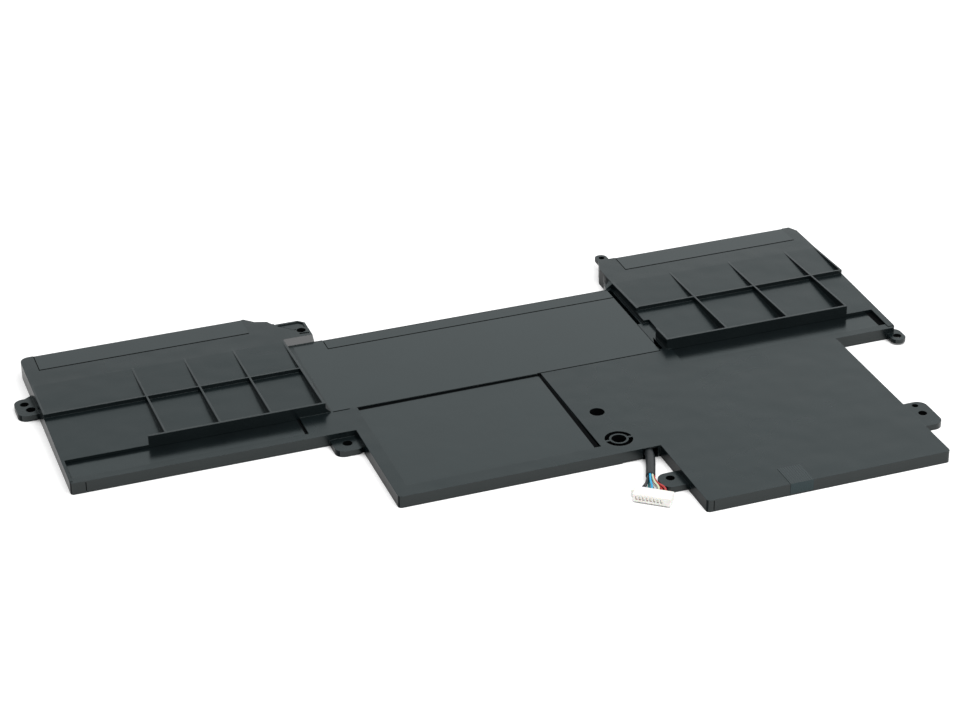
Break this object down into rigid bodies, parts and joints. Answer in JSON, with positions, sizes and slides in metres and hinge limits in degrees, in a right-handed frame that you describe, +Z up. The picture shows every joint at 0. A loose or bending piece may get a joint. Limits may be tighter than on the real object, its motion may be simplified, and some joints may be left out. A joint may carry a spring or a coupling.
{
  "type": "laptop battery",
  "caption": "Flat internal battery pack in a dark moulded housing with two ribbed raised blocks, flat screw ears and a short cable ending in a white connector.",
  "frame": {"origin": "on the resting plane, under the middle of the pack without its cable", "axes": "+X along the pack's long side towards the block with the front panel, +Y away from the cable side, +Z up through the ribbed face"},
  "size_m": [0.288, 0.1626, 0.0077],
  "materials": {
    "housing_plastic": "fine satin grain, dark grey",
    "black_film": "smooth dark film",
    "grey_tape": "satin tape",
    "pouch_laminate": "satin laminated foil",
    "adhesive": "milky double-sided tape",
    "foam": "black closed-cell foam",
    "nickel": "plain rolled nickel",
    "board_laminate": "green solder mask",
    "chip_resin": "moulded black resin",
    "ceramic": "fired ceramic, tan",
    "tinned_copper": "bright tin plate",
    "sleeve_tubing": "dark grey shrunk tubing",
    "wire_black": "black insulation",
    "wire_green": "blue-green insulation",
    "wire_blue": "light blue insulation",
    "wire_white": "white insulation",
    "wire_yellow": "pale yellow insulation",
    "wire_red": "red insulation",
    "connector_nylon": "off-white nylon"
  },
  "bodies": {
    "root": {"housing": "housing_plastic", "base_film": "black_film", "strip_film": "black_film", "edge_film_left": "black_film", "edge_film_middle": "black_film", "edge_film_right": "black_film", "window_film_left": "black_film", "window_film_middle": "black_film", "window_film_right": "black_film", "tape_tab": "grey_tape", "cell_left": "pouch_laminate", "cell_middle": "pouch_laminate", "cell_front": "pouch_laminate", "cell_right": "pouch_laminate", "adhesive_left": "adhesive", "adhesive_middle": "adhesive", "adhesive_front": "adhesive", "adhesive_right": "adhesive", "foam_left": "foam", "foam_right": "foam", "board_foam": "foam", "tabs_left": "nickel", "tabs_middle": "nickel", "tabs_front": "nickel", "tabs_right": "nickel", "weld_pads": "nickel", "link_positive": "nickel", "link_negative": "nickel", "board": "board_laminate", "gauge_chip": "chip_resin", "power_switches": "chip_resin", "sense_resistor": "chip_resin", "thermal_fuse": "nickel", "small_capacitors": "ceramic", "thermistor": "ceramic", "wire_pads": "tinned_copper", "board_leads": "wire_black", "cable_clamp": "housing_plastic", "cable_sleeve": "sleeve_tubing", "wire_black_1": "wire_black", "wire_black_2": "wire_black", "wire_green": "wire_green", "wire_blue": "wire_blue", "wire_white": "wire_white", "wire_yellow": "wire_yellow", "wire_red_1": "wire_red", "wire_red_2": "wire_red", "connector_housing": "connector_nylon", "contacts": "tinned_copper"}
  },
  "joints": []
}
